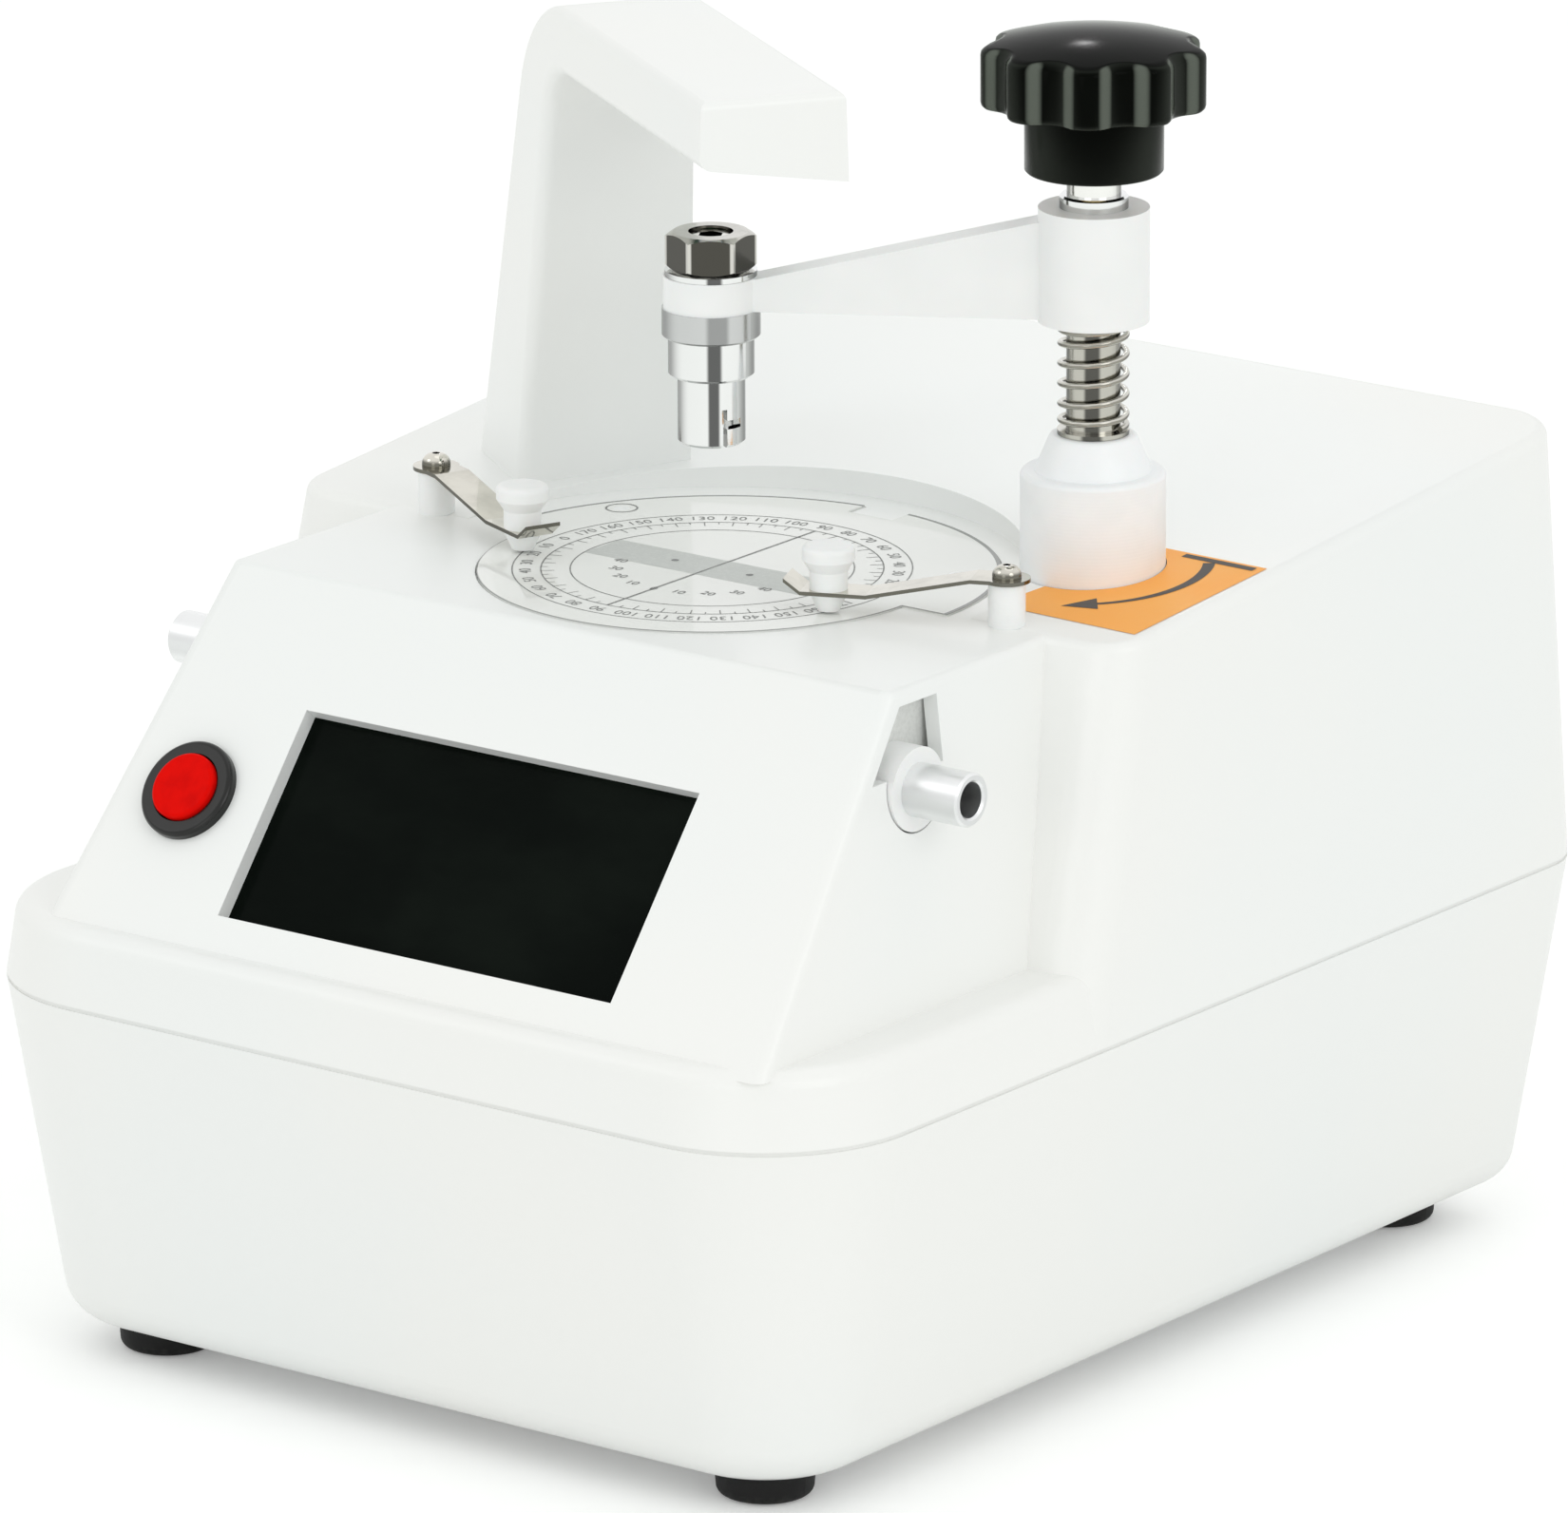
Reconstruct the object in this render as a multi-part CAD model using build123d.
"""Bench instrument that finds and blocks a spectacle lens's centre. Millimetres, +Z up, screen towards -Y.

The origin is under the middle of the body, on the surface that the rubber feet stand on.
"""
import os
from math import atan2, cos, degrees, hypot, pi, radians, sin, sqrt, tan

from build123d import *

os.makedirs("parts", exist_ok=True)

# Body: a deep tray and a cover that meet at one level seam
body_length = 242.8
body_half_width = 95.7
wall = 3.0
front_corner_radius = 30.0
back_corner_radius = 14.0
foot_gap = 6.0
seam_height = 70.0
tray_draft = 10.5
tray_edge_radius = 8.0
tray_foot_corner_radius = 3.0
seam_groove = 0.35
lip_height = 3.0
lip_thickness = 1.6
fit_gap = 0.3

# Cover: a low skirt, a narrow nose with a sloped panel, and a wide box behind whose top rises to the back.
# The nose and all that it carries stand right of the body's middle by the shift.
skirt_height = 14.0
skirt_draft = 2.2
skirt_edge_radius = 3.5
nose_rise = 56.0
nose_shift = 3.7
nose_top_inset = 22.7
nose_foot_inset = 16.2
panel_run = 45.2
panel_foot_inset = 6.5
nose_corner_radius = 2.5
nose_edge_radius = 1.6
box_front_lean = 14.3
box_top_draft = 2.6
box_back_draft = 3.6
box_front_radius = 9.0
box_edge_radius = 2.0
top_rise_angle = 4.7
platform_radius = 56.0

# Chart under the lens, with its centre at this distance behind the panel's top edge
chart_behind_panel = 45.3
plate_front_radius = 41.8
plate_back_radius = 50.0
plate_back_shift = 1.6
plate_thickness = 1.5
plate_recess = 1.2
plate_notch_width = 10.0
plate_notch_depth = 5.5
chart_radius = 35.7
chart_thickness = 0.4
view_hole_radius = 31.0
plate_pin_x = 37.5
plate_pin_y = 22.3
plate_pin_diameter = 3.0
plate_pin_length = 2.2

# Display and power button in the sloped panel
screen_side_margin = 29.5
screen_top_margin = 24.75
screen_foot_margin = 6.7
glass_border = 2.5
glass_thickness = 1.6
display_depth = 4.5
display_border = 4.5
display_board_thickness = 1.6
button_side_margin = 12.8
button_lift = 0.9
bezel_diameter = 18.6
bezel_height = 2.0
switch_diameter = 15.8
switch_depth = 20.0
cap_diameter = 12.7
cap_proud = 1.2
cap_length = 7.0
button_travel = 2.0
switch_nut_across = 19.0
switch_nut_height = 3.0

# Lens clips beside the chart, mirror images
post_inset = 9.5
post_y = 1.5
post_diameter = 6.6
post_height = 8.0
clip_screw_diameter = 2.6
clip_head_diameter = 5.2
clip_head_height = 2.2
clip_socket_across = 1.3
leaf_thickness = 0.7
leaf_width = 7.0
leaf_eye_diameter = 8.4
bumper_x = 34.0
bumper_y = -11.0
bumper_top_diameter = 9.4
bumper_waist_diameter = 6.8
bumper_foot_diameter = 4.0
bumper_height = 11.8
bumper_crown_height = 2.6
bumper_flare_height = 2.0
bumper_lift = 0.8
leaf_on_bumper = 3.2

# Column with the press: collar, bush, shaft, spring, arm and star knob
column_x = 58.7
column_y = 33.8
collar_diameter = 25.8
collar_top = 20.5
bush_diameter = 20.8
bush_neck_diameter = 15.2
bush_top = 27.1
bush_spigot_diameter = 14.0
bush_spigot_length = 16.0
column_depth = 12.0
column_plate_thickness = 3.0
column_plate_gap = 5.7
column_ear_diameter = 5.0
column_ear_inset = 4.0
shaft_diameter = 9.6
running_gap = 0.05
shaft_tail = 4.0
spring_wire = 1.1
spring_outer_diameter = 12.8
spring_turns = 6
spring_end_pitch = 1.8
spring_seat_thickness = 0.8
boss_diameter = 19.7
boss_bottom = 47.6
boss_height = 20.5
arm_web_thickness = 6.5
arm_tip_diameter = 16.9
arm_tip_bottom = 48.1
arm_tip_height = 5.9
arm_web_rise = 17.5
retaining_ring_diameter = 12.2
retaining_ring_height = 2.4
press_travel = 12.0
knob_diameter = 40.0
knob_lobes = 7
knob_notch_radius = 5.6
knob_hub_diameter = 24.5
knob_bottom = 74.6
knob_hub_height = 11.6
knob_head_height = 14.6
knob_dome = 1.2
knob_shoulder_width = 6.0
knob_shoulder_drop = 6.5
knob_insert_diameter = 14.0
knob_insert_height = 12.0

# Block holder at the arm's tip
holder_ring_diameter = 17.5
holder_ring_height = 5.2
holder_band_diameter = 15.3
holder_band_height = 7.1
holder_tube_diameter = 12.0
holder_tube_length = 12.2
holder_bore_diameter = 8.4
holder_bore_depth = 15.0
holder_slit_width = 1.0
holder_slit_height = 7.0
stud_diameter = 8.0
washer_diameter = 16.4
washer_thickness = 1.0
nut_across_flats = 14.0
nut_height = 6.8
nut_turn = -23.0
nut_face_share = 0.95
socket_across = 4.0

# Lamp arm, drawn along the line from its foot to the chart's centre
lamp_heading = -33.7
lamp_limb_face = 60.0
lamp_limb_foot_depth = 25.0
lamp_limb_lean = 10.5
lamp_limb_top_depth = 14.0
lamp_foot_half_width = 16.4
lamp_head_half_width = 13.3
lamp_top = 93.5
lamp_head_drop_left = 11.5
lamp_head_drop_right = 16.5
lamp_reach = 34.0
lamp_outer_radius = 24.0
lamp_inner_radius = 9.0
lamp_edge_radius = 1.5
lamp_inner_edge_radius = 2.5
lamp_pocket_half_length = 24.0
lamp_pocket_half_width = 9.0
lamp_board_thickness = 1.6
lamp_lens_diameter = 15.0
lamp_lens_height = 3.5
lamp_screw_diameter = 3.4
lamp_screw_spread = 9.0

# Tube through the nose, its side plates and the windows that show them
tube_diameter = 9.6
tube_bore = 6.4
tube_y = -41.4
tube_drop = 17.5
tube_reach = 8.0
tube_bush_diameter = 15.0
tube_bush_inset = 3.6
side_plate_thickness = 1.5
side_plate_gap = 2.0
side_flange = 10.0
window_top_drop = 2.8
window_foot_drop = 14.7
window_back_y = -32.5
window_margin = 4.3
side_plate_behind = 16.0
side_hole_behind = 6.0
side_hole_drop = 10.9
side_hole_diameter = 1.4

# Underside, electronics and fasteners
foot_diameter = 17.0
foot_top_diameter = 18.0
foot_side_inset = 28.7
foot_front_inset = 28.0
foot_back_inset = 25.0
foot_screw_diameter = 4.0
foot_screw_head = 8.0
case_screw_diameter = 3.5
case_screw_head = 6.4
case_post_diameter = 10.0
case_post_side_inset = 22.0
case_post_end_inset = 45.0
board_width = 110.0
board_depth = 84.0
board_thickness = 1.6
board_y = 30.0
standoff_height = 8.0
standoff_diameter = 6.0
camera_board_size = 38.0
camera_drop = 62.0
camera_lens_diameter = 16.0
camera_lens_length = 20.0
camera_rim = 3.0
camera_shelf_width = 12.0
camera_shelf_grip = 4.0
inlet_x = -45.0
inlet_z = 33.0
inlet_diameter = 11.0
inlet_bore = 6.2
inlet_pin = 2.0
inlet_depth = 14.0

# Places that follow from the sizes above
front_y = -body_length / 2
back_y = body_length / 2
ledge_height = seam_height + skirt_height
deck_height = ledge_height + nose_rise
nose_top_half_width = body_half_width - nose_top_inset
nose_foot_half_width = body_half_width - nose_foot_inset
panel_top_y = front_y + panel_foot_inset + panel_run
chart_y = panel_top_y + chart_behind_panel
chart_place = Pos(nose_shift, chart_y, deck_height)
panel_slope = hypot(panel_run, nose_rise)
panel_normal = (0, -nose_rise / panel_slope, panel_run / panel_slope)
panel_middle = (nose_shift, panel_top_y - panel_run / 2, deck_height - nose_rise / 2)
panel = Plane(origin=panel_middle, x_dir=(1, 0, 0), z_dir=panel_normal)
screen_width = 2 * (nose_top_half_width - screen_side_margin)
screen_height = panel_slope - screen_top_margin - screen_foot_margin
screen_from_top = screen_top_margin + screen_height / 2
button_x = button_side_margin - nose_top_half_width
button_from_top = screen_from_top - button_lift
screen_place = panel.location * Pos(0, panel_slope / 2 - screen_from_top, 0)
button_place = panel.location * Pos(button_x, panel_slope / 2 - button_from_top, 0)
tray_floor = foot_gap + wall
column_place = chart_place * Pos(column_x, column_y, 0)
column_heading = degrees(atan2(column_y, column_x))
arm_length = hypot(column_x, column_y)
shaft_below = column_depth + bush_spigot_length + press_travel + shaft_tail
post_x = nose_top_half_width - post_inset
tube_half_length = nose_foot_half_width + tube_reach
tube_bush_end = nose_foot_half_width - tube_bush_inset
foot_x = body_half_width - foot_side_inset
front_foot_y = front_y + foot_front_inset
back_foot_y = back_y - foot_back_inset
case_post_x = body_half_width - case_post_side_inset
case_post_y = back_y - case_post_end_inset
lamp_place = chart_place * Rot(0, 0, lamp_heading)
tube_place = chart_place * Pos(0, tube_y, -tube_drop)
high = 400.0


def plan(z, half_width, y_low, y_high, low_radius, high_radius):
    """Rounded rectangle at one height, with its own radius at the front and at the back corners."""
    rectangle = Rectangle(2 * half_width, y_high - y_low)
    low = rectangle.vertices().sort_by(Axis.Y)[:2]
    rounded = fillet(low, low_radius)
    far = rounded.vertices().group_by(Axis.Y)[-1]
    return Pos(0, (y_low + y_high) / 2, z) * fillet(far, high_radius)


def seam_ring():
    """Shallow groove round the seam, half in the tray and half in the cover."""
    outside = plan(0, body_half_width + wall, front_y - wall, back_y + wall,
                   front_corner_radius, back_corner_radius)
    inside = plan(0, body_half_width - seam_groove, front_y + seam_groove, back_y - seam_groove,
                  front_corner_radius - seam_groove, back_corner_radius - seam_groove)
    return Pos(0, 0, seam_height - seam_groove) * extrude(outside - inside, amount=2 * seam_groove)


def tray_form(inset):
    """Tray outside at no inset, and its hollow at one wall."""
    foot_z = foot_gap + inset
    top_z = seam_height + inset * 0.01
    draft = tray_draft * (seam_height - foot_z) / (seam_height - foot_gap)
    low_inset = draft + inset
    low = plan(foot_z, body_half_width - low_inset, front_y + low_inset, back_y - low_inset,
               front_corner_radius - low_inset, max(back_corner_radius - low_inset, tray_foot_corner_radius))
    high_inset = inset
    top = plan(top_z, body_half_width - high_inset, front_y + high_inset, back_y - high_inset,
               front_corner_radius - high_inset, back_corner_radius - high_inset)
    form = loft([low, top], ruled=True)
    foot_edges = form.faces().sort_by(Axis.Z)[0].edges()
    return fillet(foot_edges, tray_edge_radius - inset)


def skirt_form(inset):
    """Band of the cover from the seam to the ledge."""
    low = plan(seam_height - inset * 0.01, body_half_width - inset, front_y + inset, back_y - inset,
               front_corner_radius - inset, back_corner_radius - inset)
    top_inset = inset + skirt_draft
    top = plan(ledge_height - inset, body_half_width - top_inset, front_y + top_inset, back_y - top_inset,
               front_corner_radius - top_inset, back_corner_radius - top_inset)
    form = loft([low, top], ruled=True)
    if inset:
        return form
    return fillet(form.faces().sort_by(Axis.Z)[-1].edges(), skirt_edge_radius)


def nose_section(z, inset):
    """Section of the nose at one height: it narrows upwards and its front follows the panel."""
    share = (deck_height - z) / nose_rise
    half_width = nose_top_half_width + (nose_foot_half_width - nose_top_half_width) * share - inset
    y_low = panel_top_y - panel_run * share - inset / panel_normal[1]
    radius = nose_corner_radius if inset == 0 else nose_corner_radius / 5
    return Pos(nose_shift, 0, 0) * plan(z, half_width, y_low, chart_y + platform_radius / 2, radius, radius)


def nose_form(inset):
    low_z = ledge_height - 1.5 * (1 + inset)
    form = loft([nose_section(low_z, inset), nose_section(deck_height - inset, inset)], ruled=True)
    if inset:
        return form
    return fillet(form.faces().sort_by(Axis.Z)[-1].edges(), nose_edge_radius)


def box_front_y(z):
    """The rear box's front wall leans forward going down."""
    return chart_y - box_front_lean * (deck_height - z) / nose_rise


def box_section(z, inset):
    share = (z - seam_height) / (deck_height - seam_height)
    half_width = body_half_width - box_top_draft * share - inset
    y_low = box_front_y(z) + inset
    y_high = back_y - box_back_draft * share - inset
    low_radius = box_front_radius - inset
    return plan(z, half_width, y_low, y_high, low_radius, back_corner_radius - inset)


def rear_top(drop=0.0):
    """Solid above the rising top of the rear box."""
    slope = Pos(0, chart_y, deck_height - drop) * Rot(top_rise_angle, 0, 0)
    return slope * Box(high, high, high, align=(Align.CENTER, Align.CENTER, Align.MIN))


def box_form(inset):
    top_z = deck_height + body_length / 8
    form = loft([box_section(seam_height, inset), box_section(top_z, inset)], ruled=True)
    form = form - rear_top(inset)
    if inset:
        return form
    top_edges = form.faces().sort_by(Axis.Z)[-1].edges()
    return fillet(top_edges, box_edge_radius)


def window_front_y(drop):
    """The window's front edge runs along the panel, one margin behind it."""
    return panel_top_y - chart_y - drop * panel_run / nose_rise + window_margin


def window(side):
    """Opening in a nose wall, and the hole below it that the tube leaves by."""
    corners = [(window_back_y, -window_top_drop), (window_front_y(window_top_drop), -window_top_drop),
               (window_front_y(window_foot_drop), -window_foot_drop), (window_back_y, -window_foot_drop)]
    outline = Plane.YZ * make_face(Polyline(*corners, close=True))
    cut = extrude(outline, amount=nose_foot_half_width * side)
    hole = Plane.YZ * Pos(tube_y, -tube_drop) * Circle(tube_bush_diameter / 2 + fit_gap)
    return chart_place * (cut + extrude(hole, amount=nose_foot_half_width * side))


def plate_outline(gap):
    """Chart plate outline: two half discs of unlike radius that meet on the X axis, notched at the back."""
    front = Circle(plate_front_radius + gap) & Pos(0, -high / 2) * Rectangle(high, high)
    back = Pos(plate_back_shift, 0) * Circle(plate_back_radius + gap) & Pos(0, high / 2) * Rectangle(high, high)
    notch = Pos(plate_back_shift, plate_back_radius - plate_notch_depth + gap + high / 4)
    return front + back - notch * Rectangle(plate_notch_width - 2 * gap, high / 2)


def plate_pins_at():
    return [Pos(side * plate_pin_x, plate_pin_y) for side in (-1, 1)]


def case_posts_at():
    return [Pos(side * case_post_x, end * case_post_y) for side in (-1, 1) for end in (-1, 1)]


def feet_at():
    return [Pos(side * foot_x, y) for side in (-1, 1) for y in (front_foot_y, back_foot_y)]


def cylinder(diameter, z_low, z_high):
    bottom = (Align.CENTER, Align.CENTER, Align.MIN)
    return Pos(0, 0, z_low) * Cylinder(diameter / 2, z_high - z_low, align=bottom)


def cone(low_diameter, high_diameter, z_low, z_high):
    bottom = (Align.CENTER, Align.CENTER, Align.MIN)
    return Pos(0, 0, z_low) * Cone(low_diameter / 2, high_diameter / 2, z_high - z_low, align=bottom)


def hexagon(across, z_low, z_high):
    return Pos(0, 0, z_low) * extrude(RegularPolygon(across / 2, 6, major_radius=False), amount=z_high - z_low)


def base_tray():
    tray = tray_form(0) - tray_form(wall)
    rim_inset = wall + fit_gap + skirt_draft * lip_height / (ledge_height - seam_height)
    rim = plan(0, body_half_width - rim_inset, front_y + rim_inset, back_y - rim_inset,
               front_corner_radius - rim_inset, back_corner_radius - rim_inset)
    inner_inset = rim_inset + lip_thickness
    hollow = plan(0, body_half_width - inner_inset, front_y + inner_inset, back_y - inner_inset,
                  front_corner_radius - inner_inset, back_corner_radius - inner_inset)
    lip = Pos(0, 0, seam_height - 2 * lip_height) * extrude(rim - hollow, amount=3 * lip_height)
    tray += lip & (tray_form(0) + Pos(0, 0, seam_height) * extrude(rim, amount=lip_height))
    for place in case_posts_at():
        tray += place * cylinder(case_post_diameter, tray_floor - 1, seam_height)
        tray -= place * cylinder(case_screw_diameter + 2 * fit_gap, 0, seam_height)
        tray -= place * cylinder(case_screw_head + 2 * fit_gap, 0, foot_gap + wall)
    for place in feet_at():
        tray -= place * cylinder(foot_screw_diameter, 0, tray_floor + 1)
    for place in board_posts_at():
        tray -= place * cylinder(foot_screw_diameter / 2, 0, tray_floor + 1)
    inlet_hole = Pos(inlet_x, back_y, inlet_z) * Rot(90, 0, 0) * Cylinder(inlet_diameter / 2 + fit_gap, high / 8)
    return tray - inlet_hole - seam_ring()


def top_cover():
    cover = skirt_form(0) + box_form(0) + nose_form(0)
    cover -= skirt_form(wall) + box_form(wall) + nose_form(wall)
    shelf = chart_place * cylinder(2 * platform_radius + 2 * wall, -wall, platform_radius)
    cover += shelf & (box_form(0) + nose_form(0))
    cover -= chart_place * cylinder(2 * platform_radius, 0, high)
    cover -= chart_place * Pos(0, 0, -plate_recess) * extrude(plate_outline(fit_gap), amount=high)
    cover -= chart_place * cylinder(2 * (chart_radius + fit_gap), -plate_recess - chart_thickness, 0)
    cover -= chart_place * cylinder(2 * view_hole_radius, -2 * wall, 0)
    for place in plate_pins_at():
        cover -= chart_place * place * cylinder(plate_pin_diameter, -plate_pin_length, 0)
    cover -= screen_place * Box(screen_width, screen_height, 4 * wall)
    cover -= button_place * Cylinder(switch_diameter / 2 + running_gap, 4 * wall)
    for side in (-1, 1):
        cover -= window(side)
        cover -= chart_place * Pos(side * post_x, post_y) * cylinder(clip_screw_diameter, -wall, wall)
    cover -= column_place * cylinder(collar_diameter + 2 * fit_gap, -2 * wall, high / 8)
    cover -= lamp_place * lamp_screw_holes(-2 * wall, high / 8)
    inside = skirt_form(1) + box_form(1) + nose_form(1)
    for side in (-1, 1):
        for end in (-1, 1):
            place = Pos(side * case_post_x, end * case_post_y)
            post = place * cylinder(case_post_diameter, seam_height, ledge_height)
            rib_place = Pos(side * (case_post_x + body_half_width) / 2, end * case_post_y, ledge_height - wall)
            rib = rib_place * Box(case_post_side_inset, wall, 2 * (skirt_height - 2 * wall))
            cover += (post + rib) & inside
            cover -= place * cylinder(case_screw_diameter, seam_height - 1, ledge_height - wall)
    return cover - seam_ring()


def rubber_feet():
    feet = []
    for place in feet_at():
        foot = place * cone(foot_diameter, foot_top_diameter, 0, foot_gap)
        foot = fillet(foot.edges().sort_by(Axis.Z)[0], 1.6)
        foot -= place * cylinder(foot_screw_head + fit_gap, 0, foot_gap / 2)
        foot -= place * cylinder(foot_screw_diameter + fit_gap, 0, foot_gap)
        feet.append(foot)
    return Compound(feet)


def foot_screws():
    screws = []
    for place in feet_at():
        head = cylinder(foot_screw_head, foot_gap / 2 - 2.0, foot_gap / 2)
        shank = cylinder(foot_screw_diameter, foot_gap / 2, tray_floor + 1)
        screws.append(place * (head + shank - hexagon(socket_across, 0, foot_gap / 2 - 0.8)))
    return Compound(screws)


def case_screws():
    screws = []
    for place in case_posts_at():
        head = cylinder(case_screw_head, foot_gap + wall - 2.2, foot_gap + wall)
        shank = cylinder(case_screw_diameter, foot_gap + wall, ledge_height - wall - 1)
        screws.append(place * (head + shank - hexagon(socket_across - 1, 0, foot_gap + wall - 1)))
    return Compound(screws)


def display_glass():
    size = (screen_width + 2 * glass_border, screen_height + 2 * glass_border, glass_thickness)
    return screen_place * Pos(0, 0, -wall - glass_thickness / 2) * Box(*size)


def display_frame():
    outer = (screen_width + 2 * display_border, screen_height + 2 * display_border, display_depth)
    seat = -wall - display_depth / 2
    seat_width = screen_width + 2 * glass_border + fit_gap
    seat_height = screen_height + 2 * glass_border + fit_gap
    frame = Box(*outer) - Box(seat_width, seat_height, display_depth)
    back = Pos(0, 0, -display_depth / 2 + 0.5) * Box(outer[0], outer[1], 1.0)
    hollow = Pos(0, 0, 1.0) * Box(screen_width, screen_height, display_depth)
    return screen_place * Pos(0, 0, seat) * (frame + (back - hollow))


def display_board():
    size = (screen_width + display_border, screen_height + 2 * display_border, display_board_thickness)
    seat = -wall - display_depth - display_board_thickness / 2
    return screen_place * Pos(0, 0, seat) * Box(*size)


def switch_housing():
    bezel = cylinder(bezel_diameter, 0, bezel_height)
    bezel = fillet(bezel.edges().sort_by(Axis.Z)[-1], 0.9)
    body = bezel + cylinder(switch_diameter, -switch_depth, 0)
    body -= cylinder(cap_diameter + 2 * fit_gap, bezel_height - cap_length, high / 8)
    body -= cylinder(cap_diameter / 2, -cap_length - 2 * button_travel, 0)
    pins = [Pos(side * 3.0, 0, -switch_depth - 2.5) * Box(0.8, 2.8, 5.0) for side in (-1, 1)]
    return button_place * (body + pins[0] + pins[1])


def button_cap():
    top = bezel_height + cap_proud
    low = top - cap_length + button_travel + cap_proud
    cap = cylinder(cap_diameter, low, top)
    cap = fillet(cap.edges().sort_by(Axis.Z)[-1], 0.8)
    stem = cylinder(cap_diameter / 2 - 2 * fit_gap, -cap_length - 1.0, low)
    return button_place * (cap + stem)


def switch_nut():
    ring = hexagon(switch_nut_across, -wall - switch_nut_height, -wall)
    return button_place * (ring - cylinder(switch_diameter, -high / 8, 0))


def stage_plate():
    plate = Pos(0, 0, -plate_recess) * extrude(plate_outline(0), amount=plate_thickness)
    for place in plate_pins_at():
        plate -= place * cylinder(plate_pin_diameter, -plate_recess, wall)
    return chart_place * plate


def stage_pins():
    pins = []
    for place in plate_pins_at():
        pin = cylinder(plate_pin_diameter, -plate_pin_length, plate_thickness - plate_recess)
        pins.append(chart_place * place * pin)
    return Compound(pins)


def chart_disc():
    return chart_place * cylinder(2 * chart_radius, -plate_recess - chart_thickness, -plate_recess)


def under_cover():
    """Everything below the cover's upper faces: the level nose and the rising rear top."""
    level = chart_place * Box(high, high, high, align=(Align.CENTER, Align.CENTER, Align.MAX))
    slope = Pos(0, chart_y, deck_height) * Rot(top_rise_angle, 0, 0)
    return level + slope * Box(high, high, high, align=(Align.CENTER, Align.CENTER, Align.MAX))


def clip_post(side):
    post = cylinder(post_diameter, 0, post_height)
    post = fillet(post.edges().sort_by(Axis.Z)[-1], 0.5)
    post -= cylinder(clip_screw_diameter, -1, post_height)
    return chart_place * Pos(side * post_x, post_y) * post - under_cover()


def clip_screw(side):
    seat = post_height + leaf_thickness + running_gap
    head = cylinder(clip_head_diameter, seat, seat + clip_head_height)
    head = fillet(head.edges().sort_by(Axis.Z)[-1], clip_head_height - 0.3)
    head -= hexagon(clip_socket_across, seat + clip_head_height / 2, seat + 2 * clip_head_height)
    shank = cylinder(clip_screw_diameter, -wall + 0.5, seat)
    return chart_place * Pos(side * post_x, post_y) * (head + shank)


def leaf_frame(side):
    """Frame at the post's top, with X towards the bumper."""
    heading = degrees(atan2(bumper_y - post_y, -side * (post_x - bumper_x)))
    return chart_place * Pos(side * post_x, post_y, 0) * Rot(0, 0, heading)


def leaf_reach():
    return hypot(post_x - bumper_x, bumper_y - post_y)


def clip_leaf(side):
    """Spring steel strip that drops from the post's top to the bumper and turns up past it."""
    reach = leaf_reach()
    low = bumper_lift + leaf_on_bumper
    top = post_height + running_gap / 2
    flat = bumper_waist_diameter / 2 + 1
    line = Polyline((0, top), (leaf_eye_diameter * 0.7, top), (reach - flat - 3, low),
                    (reach + flat, low), (reach + flat + 3.0, low + 2.2))
    strip = extrude(Plane.XZ * make_face(offset_strip(line)), amount=leaf_width / 2, both=True)
    eye = cylinder(leaf_eye_diameter, top, top + leaf_thickness)
    leaf = strip + eye
    leaf -= cylinder(clip_screw_diameter + 2 * running_gap, 0, high / 8)
    leaf -= Pos(reach, 0, 0) * cylinder(bumper_foot_diameter - 1.0, 0, post_height)
    return leaf_frame(side) * leaf


def offset_strip(line):
    """Closed outline one leaf thickness thick above an open line."""
    points = [line.edges()[0] @ 0] + [edge @ 1 for edge in line.edges()]
    lifted = [Vector(p.X, p.Y + leaf_thickness) for p in points]
    return Polyline(*points, *reversed(lifted), close=True)


def clip_bumper(side):
    """Turned nylon bumper: a foot under the leaf, a waist and a wide cap above it."""
    low = bumper_lift
    leaf_low = low + leaf_on_bumper
    leaf_high = leaf_low + leaf_thickness
    foot = cone(bumper_foot_diameter, bumper_waist_diameter, low, leaf_low)
    neck = cylinder(bumper_foot_diameter - 1.0, leaf_low, leaf_high)
    crown_low = low + bumper_height - bumper_crown_height
    waist = cylinder(bumper_waist_diameter, leaf_high, crown_low - bumper_flare_height)
    cap = cone(bumper_waist_diameter, bumper_top_diameter, crown_low - bumper_flare_height, crown_low)
    crown = cylinder(bumper_top_diameter, crown_low, low + bumper_height)
    crown = fillet(crown.edges().sort_by(Axis.Z)[-1], 1.0)
    return leaf_frame(side) * Pos(leaf_reach(), 0, 0) * (foot + neck + waist + cap + crown)


def column_plate():
    """Steel plate under the rear box's top that carries collar, bush and press."""
    top = -column_depth
    half = body_half_width - box_top_draft - wall - nose_shift - column_x - column_plate_gap
    plate = Pos(0, 0, top - column_plate_thickness / 2) * Box(2 * half, 2 * half, column_plate_thickness)
    plate -= cylinder(bush_spigot_diameter, -high / 8, top)
    ear_at = half - column_ear_inset
    for x in (-1, 1):
        for y in (-1, 1):
            plate += Pos(x * ear_at, y * ear_at) * cylinder(column_ear_diameter, top, 0)
    plate = column_place * plate
    return plate - rear_top(wall) - chart_place * cylinder(2 * (platform_radius + wall), -wall, high)


def column_collar():
    collar = cylinder(collar_diameter, -column_depth, collar_top)
    collar = fillet(collar.edges().sort_by(Axis.Z)[-1], 1.0)
    return column_place * (collar - cylinder(bush_diameter, -column_depth, collar_top))


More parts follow.
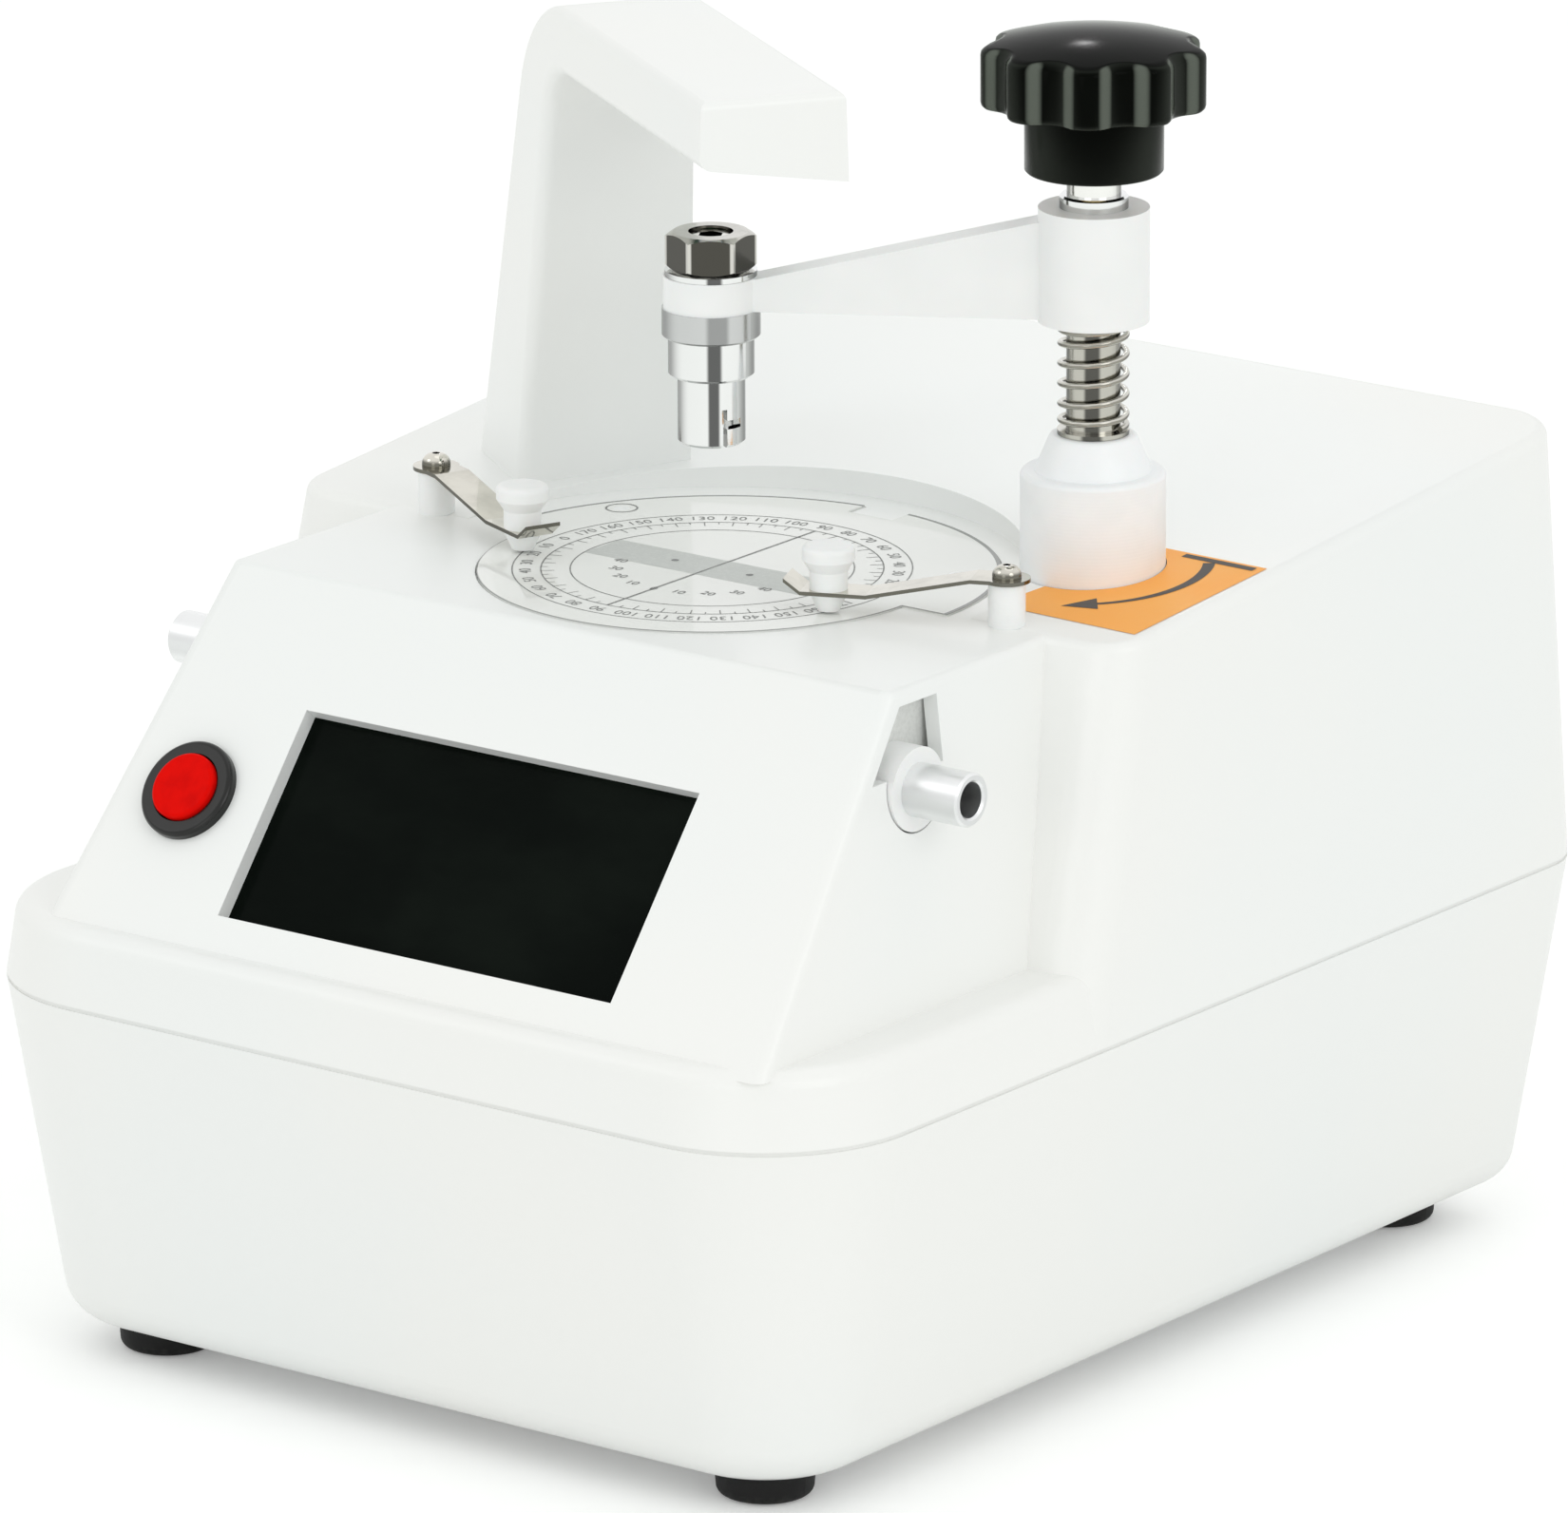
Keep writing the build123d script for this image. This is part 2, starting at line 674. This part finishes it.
def guide_bush():
    bush = cylinder(bush_diameter, -column_depth, collar_top)
    bush += cone(bush_diameter, bush_neck_diameter, collar_top, bush_top)
    bush = fillet(bush.edges().sort_by(Axis.Z)[-1], 1.0)
    bush += cylinder(bush_spigot_diameter, -column_depth - bush_spigot_length, -column_depth)
    return column_place * (bush - cylinder(shaft_diameter + 2 * running_gap, -high / 4, high / 4))


def press_shaft():
    top = knob_bottom + knob_insert_height
    shaft = cylinder(shaft_diameter, -shaft_below, top)
    shaft = chamfer(shaft.edges().sort_by(Axis.Z)[0], 0.8)
    groove_top = -column_depth - bush_spigot_length
    groove = cylinder(shaft_diameter, groove_top - 1.2, groove_top) - cylinder(shaft_diameter - 1.6, -high, high)
    return column_place * (shaft - groove)


def shaft_clip():
    """Snap ring in the shaft's groove: it stops the shaft's upward travel under the bush."""
    top = -column_depth - bush_spigot_length
    ring = cylinder(shaft_diameter + 5, top - 1.2, top) - cylinder(shaft_diameter - 1.6, -high, high)
    gap = Pos(shaft_diameter / 2 + 1, 0, top) * Box(shaft_diameter, 3.0, 4.0)
    return column_place * (ring - gap)


def spring_seat():
    low = bush_top + running_gap
    ring = cylinder(spring_outer_diameter, low, low + spring_seat_thickness)
    return column_place * (ring - cylinder(shaft_diameter + 2 * running_gap, 0, high))


def spring_points():
    """Centre line of the coil at each quarter turn: the pitch is closed at both ends and open between."""
    radius = (spring_outer_diameter - spring_wire) / 2
    low = bush_top + running_gap + spring_seat_thickness + spring_wire / 2 + running_gap
    high_end = boss_bottom - spring_wire / 2 - fit_gap
    open_turns = spring_turns - 2
    open_pitch = (high_end - low - 2 * spring_end_pitch) / open_turns
    points, tangents = [], []
    for step in range(4 * spring_turns + 1):
        turn = step / 4
        closed_low = min(turn, 1.0)
        closed_high = max(turn - spring_turns + 1, 0.0)
        open_part = turn - closed_low - closed_high
        pitch = spring_end_pitch if turn < 1 or turn > spring_turns - 1 else open_pitch
        if turn in (1.0, spring_turns - 1.0):
            pitch = (spring_end_pitch + open_pitch) / 2
        z = low + (closed_low + closed_high) * spring_end_pitch + open_part * open_pitch
        angle = 2 * pi * turn
        points.append(Vector(radius * cos(angle), radius * sin(angle), z))
        tangents.append(Vector(-radius * sin(angle), radius * cos(angle), pitch / (2 * pi)).normalized())
    return points, tangents


def biarc(start, start_way, end, end_way):
    """Two tangent arcs that leave start along start_way and reach end along end_way."""
    chord = end - start
    both = start_way + end_way
    bend = 2 * (1 - start_way.dot(end_way))
    reach = (sqrt(chord.dot(both) ** 2 + bend * chord.dot(chord)) - chord.dot(both)) / bend
    first = start + start_way * reach
    second = end - end_way * reach
    middle = (first + second) * 0.5
    return [TangentArc(start, middle, tangent=start_way), TangentArc(middle, end, tangent=second - first)]


def press_spring():
    points, tangents = spring_points()
    arcs = []
    for index in range(len(points) - 1):
        arcs += biarc(points[index], tangents[index], points[index + 1], tangents[index + 1])
    path = Wire([arc.edge() for arc in arcs])
    section = Plane(origin=points[0], z_dir=tangents[0]) * Circle(spring_wire / 2)
    samples = [path.position_at(step / 400) for step in range(401)]
    gaps = []
    for first in range(0, 401, 4):
        for second in range(first + 30, 401):
            gaps.append((samples[first] - samples[second]).length)
    print("spring: least gap between turns", round(min(gaps) - spring_wire, 2), "mm, over 0.4 wanted")
    return column_place * sweep(section, path=path)


def swing_arm():
    boss = cylinder(boss_diameter, boss_bottom, boss_bottom + boss_height)
    tip = Pos(arm_length, 0, 0) * cylinder(arm_tip_diameter, arm_tip_bottom, arm_tip_bottom + arm_tip_height)
    web_low = arm_tip_bottom
    outline = Polyline((0, web_low), (arm_length, web_low), (arm_length, web_low + arm_tip_height),
                       (arm_length - arm_tip_diameter / 2, web_low + arm_tip_height),
                       (boss_diameter / 2, web_low + arm_web_rise), (0, web_low + arm_web_rise), close=True)
    web = extrude(Plane.XZ * make_face(outline), amount=arm_web_thickness / 2, both=True)
    arm = boss + web
    arm += tip
    arm -= cylinder(shaft_diameter, 0, high)
    arm -= Pos(arm_length, 0, 0) * cylinder(stud_diameter, 0, high)
    return column_place * Rot(0, 0, 180 + column_heading) * arm


def retaining_ring():
    low = boss_bottom + boss_height
    ring = cylinder(retaining_ring_diameter, low, low + retaining_ring_height)
    ring = chamfer(ring.edges().sort_by(Axis.Z)[-1], 0.4)
    return column_place * (ring - cylinder(shaft_diameter, 0, high))


def knob_star():
    star = Circle(knob_diameter / 2)
    notch_at = knob_diameter / 2 + knob_notch_radius * 0.42
    for lobe in range(knob_lobes):
        star -= Rot(0, 0, 360 * (lobe + 0.5) / knob_lobes) * Pos(notch_at, 0) * Circle(knob_notch_radius)
    return fillet(star.vertices(), 1.6)


def star_knob():
    head_low = knob_bottom + knob_hub_height
    head_high = head_low + knob_head_height
    star = Pos(0, 0, head_low) * extrude(knob_star(), amount=knob_head_height)
    half = knob_diameter / 2
    shoulder_from = (half - knob_shoulder_width, head_high - knob_dome)
    shoulder_to = (half, head_high - knob_shoulder_drop)
    profile = Polyline((0, head_high), shoulder_from)
    shoulder = ThreePointArc(shoulder_from, (half - 1.6, head_high - 2.6), shoulder_to)
    rest = Polyline(shoulder_to, (half, head_low + 1.5), (half - 3, head_low), (0, head_low), (0, head_high))
    turned = revolve(Plane.XZ * make_face(Wire([profile.edge(), shoulder.edge()] + list(rest.edges()))), Axis.Z)
    hub = cylinder(knob_hub_diameter, knob_bottom, head_low + 1)
    hub = chamfer(hub.edges().sort_by(Axis.Z)[0], 0.8)
    knob = (star & turned) + hub
    knob -= cylinder(knob_insert_diameter, knob_bottom, knob_bottom + knob_insert_height)
    return column_place * knob


def knob_insert():
    insert = cylinder(knob_insert_diameter, knob_bottom, knob_bottom + knob_insert_height)
    return column_place * (insert - cylinder(shaft_diameter, 0, high))


def holder_body():
    """Block holder: ring, band and slit tube below the arm's tip, bored from below."""
    top = arm_tip_bottom
    band_top = top - holder_ring_height
    tube_top = band_top - holder_band_height
    tube_low = tube_top - holder_tube_length
    body = cylinder(holder_band_diameter, tube_top, band_top)
    body = chamfer(body.edges().sort_by(Axis.Z)[0], 0.5)
    body += cylinder(holder_tube_diameter, tube_low, tube_top)
    body = chamfer(body.edges().sort_by(Axis.Z)[0], 0.5)
    body -= cylinder(holder_bore_diameter, tube_low, tube_low + holder_bore_depth)
    for turn in (0, 120, 240):
        slit = Pos(holder_tube_diameter / 2, 0, tube_low + holder_slit_height / 2)
        body -= Rot(0, 0, turn - 30) * slit * Box(holder_tube_diameter / 2, holder_slit_width, holder_slit_height)
    lug = Pos(holder_tube_diameter / 2, 0, tube_low + holder_slit_height * 0.6)
    body -= Rot(0, 0, -10) * lug * Box(holder_tube_diameter / 2, 3.2, 1.6)
    return chart_place * body


def holder_ring():
    top = arm_tip_bottom
    ring = cylinder(holder_ring_diameter, top - holder_ring_height, top)
    ring = chamfer(ring.edges().sort_by(Axis.Z)[0], 0.4)
    return chart_place * (ring - cylinder(stud_diameter, 0, top))


def holder_stud():
    low = arm_tip_bottom - holder_ring_height
    top = arm_tip_bottom + arm_tip_height + washer_thickness + nut_height - 0.6
    stud = cylinder(stud_diameter, low, top)
    stud = chamfer(stud.edges().sort_by(Axis.Z)[-1], 0.7)
    return chart_place * (stud - hexagon(socket_across, top - 3, top))


def holder_washer():
    low = arm_tip_bottom + arm_tip_height
    washer = cylinder(washer_diameter, low, low + washer_thickness)
    return chart_place * (washer - cylinder(stud_diameter, 0, high))


def holder_nut():
    low = arm_tip_bottom + arm_tip_height + washer_thickness
    nut = hexagon(nut_across_flats, low, low + nut_height)
    face = nut_across_flats * nut_face_share
    spread = 4 * nut_height * sqrt(3)
    nut = nut & cone(face + spread, face, low - nut_height, low + nut_height)
    nut = nut & cone(face, face + spread, low, low + 2 * nut_height)
    return chart_place * Rot(0, 0, nut_turn) * (nut - cylinder(stud_diameter, 0, high))


def lamp_profile():
    """Outer outline of the lamp arm in its own plane, without the space under its head."""
    outer_foot = -lamp_limb_face - lamp_limb_foot_depth
    outer_top = -lamp_limb_face - lamp_limb_top_depth + lamp_lean() * lamp_top
    corners = [(outer_foot, -wall), (lamp_reach, -wall), (lamp_reach, lamp_top), (outer_top, lamp_top)]
    face = make_face(Polyline(*corners, close=True))
    outer = face.vertices().sort_by_distance((outer_top, lamp_top, 0))[0]
    return fillet(outer, lamp_outer_radius)


def lamp_lean():
    return lamp_limb_lean / (lamp_top - lamp_head_drop_right)


def lamp_space():
    """Space before the limb and under the head, tilted so that the head's underside rises to the left."""
    under = lamp_top - (lamp_head_drop_left + lamp_head_drop_right) / 2
    tilt = degrees(atan2(lamp_head_drop_right - lamp_head_drop_left, 2 * lamp_foot_half_width))
    inner_top = lamp_lean() * under - lamp_limb_face
    low = -under - 4 * wall
    corners = [(inner_top + lamp_lean() * low, low), (inner_top, 0), (2 * lamp_reach, 0), (2 * lamp_reach, low)]
    face = make_face(Polyline(*corners, close=True))
    inner = face.vertices().sort_by_distance((inner_top, 0, 0))[0]
    face = fillet(inner, lamp_inner_radius)
    space = extrude(Plane.XZ * face, amount=2 * lamp_foot_half_width, both=True)
    return Pos(0, 0, under) * Rot(-tilt, 0, 0) * space


def lamp_arm():
    arm = extrude(Plane.XZ * lamp_profile(), amount=lamp_foot_half_width, both=True)
    width = Polyline((-lamp_foot_half_width, -wall), (lamp_foot_half_width, -wall),
                     (lamp_head_half_width, lamp_top), (-lamp_head_half_width, lamp_top), close=True)
    arm = arm & extrude(Plane.YZ * make_face(width), amount=high, both=True)
    arm -= lamp_space()
    top_edges = arm.faces().sort_by(Axis.Z)[-1].edges().sort_by(Axis.X)
    arm = fillet(top_edges[1:], lamp_edge_radius)
    limb_middle = (lamp_lean() * lamp_top / 2 - lamp_limb_face, -lamp_foot_half_width, lamp_top / 2)
    inner_edge = arm.edges().sort_by_distance(limb_middle)[0]
    arm = fillet(inner_edge, lamp_inner_edge_radius)
    pocket_low = lamp_top / 2
    pocket = Box(2 * lamp_pocket_half_length, 2 * lamp_pocket_half_width, lamp_top - wall - pocket_low)
    arm -= Pos(0, 0, (lamp_top - wall + pocket_low) / 2) * pocket
    arm -= lamp_screw_holes(-2 * wall, 3 * wall)
    return lamp_place * arm - under_cover()


def lamp_screw_holes(low, high_end):
    middle = -lamp_limb_face - lamp_limb_foot_depth / 2
    holes = Pos(middle, -lamp_screw_spread) * cylinder(lamp_screw_diameter, low, high_end)
    return holes + Pos(middle, lamp_screw_spread) * cylinder(lamp_screw_diameter, low, high_end)


def lamp_screws():
    """Two screws from inside the cover into the lamp arm's foot."""
    middle = -lamp_limb_face - lamp_limb_foot_depth / 2
    screws = []
    for side in (-1, 1):
        spot = lamp_place * Pos(middle, side * lamp_screw_spread)
        rise = (spot.position.Y - chart_y) * tan(radians(top_rise_angle))
        under = rise - wall / cos(radians(top_rise_angle)) - 0.4
        screw = cylinder(2 * lamp_screw_diameter, under - 2.2, under)
        screws.append(spot * (screw + cylinder(lamp_screw_diameter, under, 3 * wall - 1)))
    return Compound(screws)


def lamp_board():
    top = lamp_top - wall
    length, width = 2 * (lamp_pocket_half_length - fit_gap), 2 * (lamp_pocket_half_width - fit_gap)
    return lamp_place * Pos(0, 0, top - lamp_board_thickness / 2) * Box(length, width, lamp_board_thickness)


def lamp_lens():
    top = lamp_top - wall - lamp_board_thickness
    lens = cylinder(lamp_lens_diameter, top - lamp_lens_height, top)
    return lamp_place * fillet(lens.edges().sort_by(Axis.Z)[0], 1.6)


def side_tube():
    tube = Cylinder(tube_diameter / 2, 2 * tube_half_length) - Cylinder(tube_bore / 2, 2 * tube_half_length)
    ends = tube.edges().filter_by(GeomType.CIRCLE)
    tube = chamfer(ends, 0.4)
    return tube_place * Rot(0, 90, 0) * tube


def plate_x():
    """Inner face of the nose wall at the tube's height, less the gap to the side plate."""
    share = tube_drop / nose_rise
    half_width = nose_top_half_width + (nose_foot_half_width - nose_top_half_width) * share
    return half_width - wall - side_plate_gap


def side_plates():
    """Grey plates behind the windows: they hang from the deck, follow the panel and carry the tube."""
    plates = []
    low = -tube_drop - tube_diameter
    front, back = window_front_y(-low), window_back_y + side_plate_behind
    corners = [(back, -wall), (window_front_y(wall), -wall), (front, low), (back, low)]
    outline = Plane.YZ * make_face(Polyline(*corners, close=True))
    for side in (-1, 1):
        inner = plate_x() - side_plate_thickness
        plate = Pos(side * inner, 0, 0) * extrude(outline, amount=side * side_plate_thickness)
        plate -= Pos(0, tube_y, -tube_drop) * Rot(0, 90, 0) * Cylinder(tube_diameter / 2, high)
        flange_y = (window_front_y(wall) + side_plate_thickness + back) / 2
        flange = Pos(side * (inner - side_flange / 2), flange_y, -wall - side_plate_thickness / 2)
        plate += flange * Box(side_flange, back - window_front_y(wall) - side_plate_thickness, side_plate_thickness)
        for step in (1, 2):
            spot = Pos(0, window_back_y + side_hole_behind, -side_hole_drop * step)
            plate -= spot * Rot(0, 90, 0) * Cylinder(side_hole_diameter / 2, high)
        plates.append(chart_place * plate)
    return Compound(plates)


def tube_bushes():
    bushes = []
    for side in (-1, 1):
        low, far = plate_x(), tube_bush_end
        spot = tube_place * Pos(side * (low + far) / 2, 0, 0) * Rot(0, 90, 0)
        bush = Cylinder(tube_bush_diameter / 2, far - low) - Cylinder(tube_diameter / 2, far - low)
        bushes.append(spot * bush)
    return Compound(bushes)


def board_posts_at():
    x, y = board_width / 2 - 5, board_depth / 2 - 5
    return [Pos(side * x, board_y + end * y) for side in (-1, 1) for end in (-1, 1)]


def main_board():
    z = tray_floor + standoff_height
    board = Pos(0, board_y, z + board_thickness / 2) * Box(board_width, board_depth, board_thickness)
    for place in board_posts_at():
        board -= place * cylinder(foot_screw_diameter / 2, 0, high)
    return board


def board_standoffs():
    posts = []
    for place in board_posts_at():
        post = place * cylinder(standoff_diameter, tray_floor, tray_floor + standoff_height)
        posts.append(post - place * cylinder(foot_screw_diameter / 2, 0, high))
    return Compound(posts)


def board_screws():
    top = tray_floor + standoff_height + board_thickness
    screws = []
    for place in board_posts_at():
        shank = cylinder(foot_screw_diameter / 2, tray_floor + 1, top)
        screws.append(place * (shank + cylinder(foot_screw_diameter, top, top + 1.6)))
    return Compound(screws)


def camera_board():
    board = Box(camera_board_size, camera_board_size, board_thickness)
    return chart_place * Pos(0, 0, -camera_drop + board_thickness / 2) * board


def camera_lens():
    low = -camera_drop + board_thickness
    barrel = cylinder(camera_lens_diameter, low, low + camera_lens_length)
    barrel += cylinder(camera_lens_diameter + camera_rim, low, low + camera_lens_length / 2)
    barrel -= cylinder(camera_lens_diameter - 2 * camera_rim, low + camera_lens_length - camera_rim, high)
    return chart_place * barrel


def camera_posts():
    """Long standoffs that hang the camera board under the platform, clear of the view."""
    posts = []
    spread = view_hole_radius + standoff_diameter / 2 + 1.5
    low = -camera_drop
    for x in (-1, 1):
        post = Pos(x * spread, 0) * cylinder(standoff_diameter, low, -wall)
        reach = spread - camera_board_size / 2
        shelf_length = reach + camera_shelf_grip + standoff_diameter
        shelf = Box(shelf_length, camera_shelf_width, board_thickness)
        shelf_x = spread - (reach + camera_shelf_grip) / 2
        posts.append(chart_place * (post + Pos(x * shelf_x, 0, low - board_thickness / 2) * shelf))
    return Compound(posts)


def dc_inlet():
    inset = tray_draft * (seam_height - inlet_z) / (seam_height - foot_gap)
    face = Pos(inlet_x, back_y - inset, inlet_z) * Rot(-90, 0, 0)
    barrel = cylinder(inlet_diameter, -inlet_depth, 0.6)
    barrel -= cylinder(inlet_bore, -inlet_depth + 3, 1)
    barrel += cylinder(inlet_pin, -inlet_depth + 3, -0.8)
    nut_at = -wall - 2.4
    nut = hexagon(inlet_diameter + 4, nut_at - 2.5, nut_at) - cylinder(inlet_diameter, -high / 8, high / 8)
    return face * (barrel + nut)


parts = {
    "base_tray": base_tray(),
    "top_cover": top_cover(),
    "rubber_feet": rubber_feet(),
    "foot_screws": foot_screws(),
    "case_screws": case_screws(),
    "display_glass": display_glass(),
    "display_frame": display_frame(),
    "display_board": display_board(),
    "switch_housing": switch_housing(),
    "switch_nut": switch_nut(),
    "button_cap": button_cap(),
    "stage_plate": stage_plate(),
    "stage_pins": stage_pins(),
    "chart_disc": chart_disc(),
    "column_plate": column_plate(),
    "column_collar": column_collar(),
    "guide_bush": guide_bush(),
    "press_shaft": press_shaft(),
    "shaft_clip": shaft_clip(),
    "spring_seat": spring_seat(),
    "press_spring": press_spring(),
    "swing_arm": swing_arm(),
    "retaining_ring": retaining_ring(),
    "star_knob": star_knob(),
    "knob_insert": knob_insert(),
    "holder_body": holder_body(),
    "holder_ring": holder_ring(),
    "holder_stud": holder_stud(),
    "holder_washer": holder_washer(),
    "holder_nut": holder_nut(),
    "lamp_arm": lamp_arm(),
    "lamp_screws": lamp_screws(),
    "lamp_board": lamp_board(),
    "lamp_lens": lamp_lens(),
    "side_tube": side_tube(),
    "side_plates": side_plates(),
    "tube_bushes": tube_bushes(),
    "main_board": main_board(),
    "board_standoffs": board_standoffs(),
    "board_screws": board_screws(),
    "camera_board": camera_board(),
    "camera_lens": camera_lens(),
    "camera_posts": camera_posts(),
    "dc_inlet": dc_inlet(),
}
for name, side in (("left", -1), ("right", 1)):
    parts[f"{name}_clip_post"] = clip_post(side)
    parts[f"{name}_clip_leaf"] = clip_leaf(side)
    parts[f"{name}_clip_bumper"] = clip_bumper(side)
    parts[f"{name}_clip_screw"] = clip_screw(side)

for name, part in parts.items():
    export_step(part, f"parts/{name}.step")
